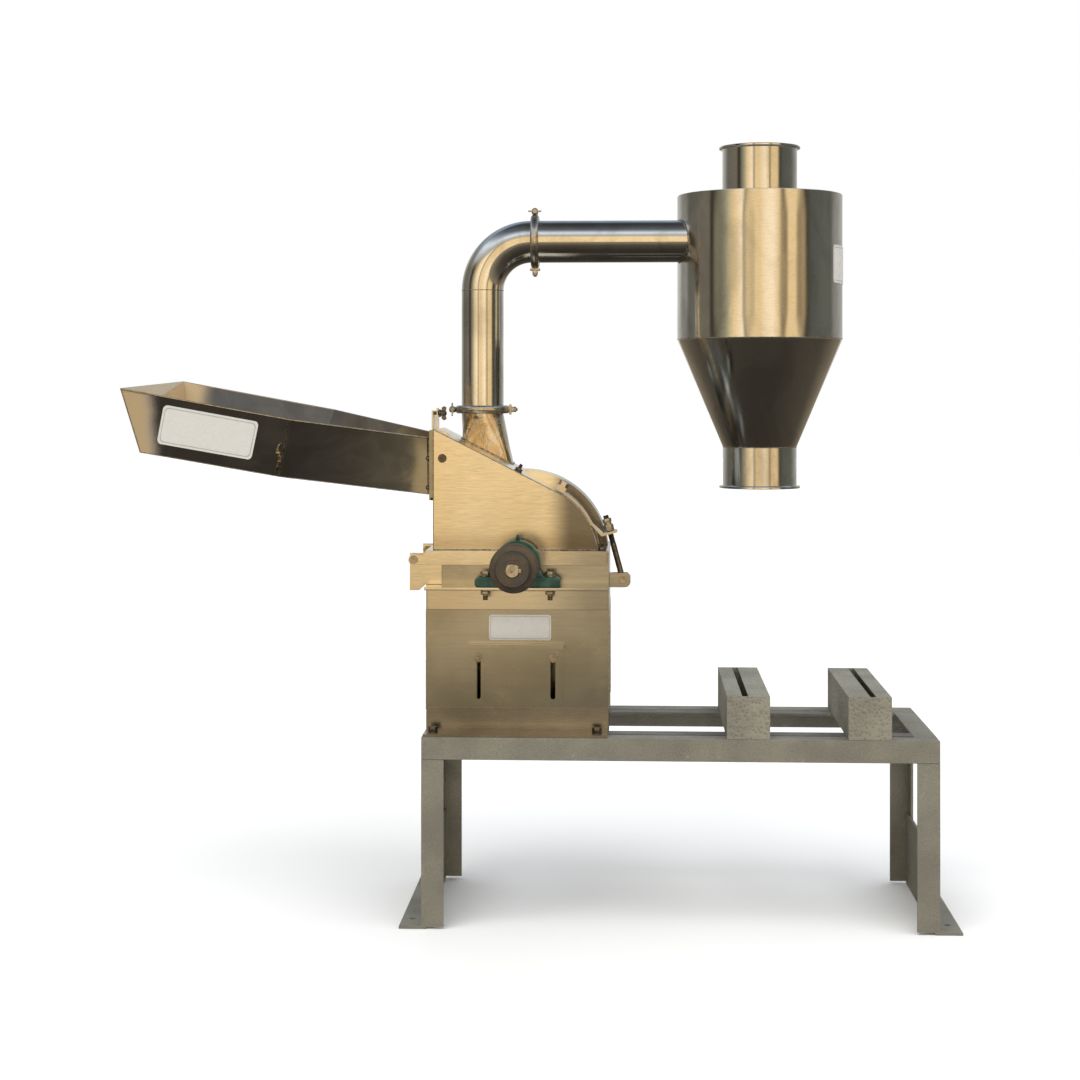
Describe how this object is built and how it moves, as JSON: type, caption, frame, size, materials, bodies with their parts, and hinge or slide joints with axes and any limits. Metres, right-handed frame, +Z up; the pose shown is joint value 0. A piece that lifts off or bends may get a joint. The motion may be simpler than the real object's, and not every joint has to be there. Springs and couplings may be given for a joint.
{
  "type": "hammer mill",
  "caption": "Bench-mounted hammer mill with side feed tray, hinged top cover, blower pipe to a cyclone, belt pulley and sliding rails for a motor.",
  "frame": {"origin": "on the floor, under the middle of the machine's overall box", "axes": "+X along the machine from the feed tray towards the motor rails, +Y from the pulley side towards the back, +Z up"},
  "size_m": [1.673, 0.652, 1.606],
  "materials": {
    "bench_paint": "grey-green hammered paint, satin",
    "stainless_sheet": "brushed",
    "mirror_stainless": "mirror",
    "polished_stainless": "polished",
    "zinc_steel": "zinc plated",
    "cast_paint": "dark green enamel on casting",
    "bearing_steel": "ground",
    "cast_iron": "rough casting",
    "rotor_steel": "mill scale"
  },
  "bodies": {
    "frame": {"front_beam": "bench_paint", "rear_beam": "bench_paint", "front_slot_bar": "bench_paint", "rear_slot_bar": "bench_paint", "left_end_frame": "bench_paint", "right_end_frame": "bench_paint", "lower_casing": "stainless_sheet", "clevis_bracket": "stainless_sheet", "clevis_pin": "zinc_steel", "sieve": "stainless_sheet", "gate_bolts": "zinc_steel", "casing_foot_front": "stainless_sheet", "casing_foot_rear": "stainless_sheet", "foot_bolts_front": "zinc_steel", "foot_bolts_rear": "zinc_steel", "bearing_ledge_front": "stainless_sheet", "bearing_ledge_rear": "stainless_sheet", "hinge_lug_front": "stainless_sheet", "hinge_lug_rear": "stainless_sheet", "hinge_pin_front": "zinc_steel", "hinge_pin_rear": "zinc_steel", "pillow_block_front": "cast_paint", "pillow_block_rear": "cast_paint", "bearing_insert_front": "bearing_steel", "bearing_insert_rear": "bearing_steel", "pillow_bolts_front": "zinc_steel", "pillow_bolts_rear": "zinc_steel"},
    "cover": {"chamber_cover": "stainless_sheet", "blower_cover": "stainless_sheet", "cover_flange": "stainless_sheet", "clamp_strap": "stainless_sheet", "gate_screw": "zinc_steel", "feed_hopper": "mirror_stainless", "neck": "polished_stainless", "riser_pipe": "polished_stainless", "cross_pipe": "polished_stainless", "riser_clamp": "polished_stainless", "elbow_clamp": "polished_stainless", "cyclone_body": "polished_stainless", "cyclone_outlet": "polished_stainless"},
    "rotor": {"shaft": "bearing_steel", "pulley": "cast_iron", "rotor_hub": "rotor_steel", "blower_impeller": "rotor_steel", "hammer_pin_1": "rotor_steel", "hammer_pin_2": "rotor_steel", "hammer_pin_3": "rotor_steel", "hammer_pin_4": "rotor_steel"},
    "hammers_1": {"hammer_row_1": "rotor_steel"},
    "hammers_2": {"hammer_row_2": "rotor_steel"},
    "hammers_3": {"hammer_row_3": "rotor_steel"},
    "hammers_4": {"hammer_row_4": "rotor_steel"},
    "discharge_gate": {"discharge_gate": "stainless_sheet"},
    "feed_gate": {"feed_gate": "stainless_sheet"},
    "swing_bolt": {"swing_bolt": "zinc_steel", "swing_nut": "zinc_steel"},
    "motor_rail_left": {"motor_rail_left": "bench_paint", "rail_clamp_left": "zinc_steel"},
    "motor_rail_right": {"motor_rail_right": "bench_paint", "rail_clamp_right": "zinc_steel"}
  },
  "joints": [
    {"name": "cover_hinge", "type": "hinge", "parent": "frame", "child": "cover", "pos_m": [-0.265, 0.033, 0.7355], "axis": [0, -1, 0], "range_deg": [0, 75]},
    {"name": "rotor_spin", "type": "hinge", "parent": "frame", "child": "rotor", "pos_m": [-0.0505, 0, 0.732], "axis": [0, 1, 0], "continuous": true},
    {"name": "hammer_row_1_swing", "type": "hinge", "parent": "rotor", "child": "hammers_1", "pos_m": [0.00607, 0, 0.78857], "axis": [0, 1, 0], "range_deg": [-272, 2]},
    {"name": "hammer_row_2_swing", "type": "hinge", "parent": "rotor", "child": "hammers_2", "pos_m": [-0.10707, 0, 0.78857], "axis": [0, 1, 0], "range_deg": [-2, 272]},
    {"name": "hammer_row_3_swing", "type": "hinge", "parent": "rotor", "child": "hammers_3", "pos_m": [-0.10707, 0, 0.67543], "axis": [0, 1, 0], "range_deg": [-92, 182]},
    {"name": "hammer_row_4_swing", "type": "hinge", "parent": "rotor", "child": "hammers_4", "pos_m": [0.00607, 0, 0.67543], "axis": [0, 1, 0], "range_deg": [-182, 92]},
    {"name": "discharge_gate_slide", "type": "slide", "parent": "frame", "child": "discharge_gate", "axis": [0, 0, 1], "range_m": [0, 0.065]},
    {"name": "feed_gate_slide", "type": "slide", "parent": "cover", "child": "feed_gate", "axis": [0, 0, 1], "range_m": [0, 0.11]},
    {"name": "swing_bolt_pivot", "type": "hinge", "parent": "frame", "child": "swing_bolt", "pos_m": [0.1615, -0.041, 0.69], "axis": [0, 1, 0], "range_deg": [0, 90]},
    {"name": "motor_rail_left_slide", "type": "slide", "parent": "frame", "child": "motor_rail_left", "axis": [1, 0, 0], "range_m": [-0.1, 0.07]},
    {"name": "motor_rail_right_slide", "type": "slide", "parent": "frame", "child": "motor_rail_right", "axis": [1, 0, 0], "range_m": [-0.07, 0.04]}
  ]
}
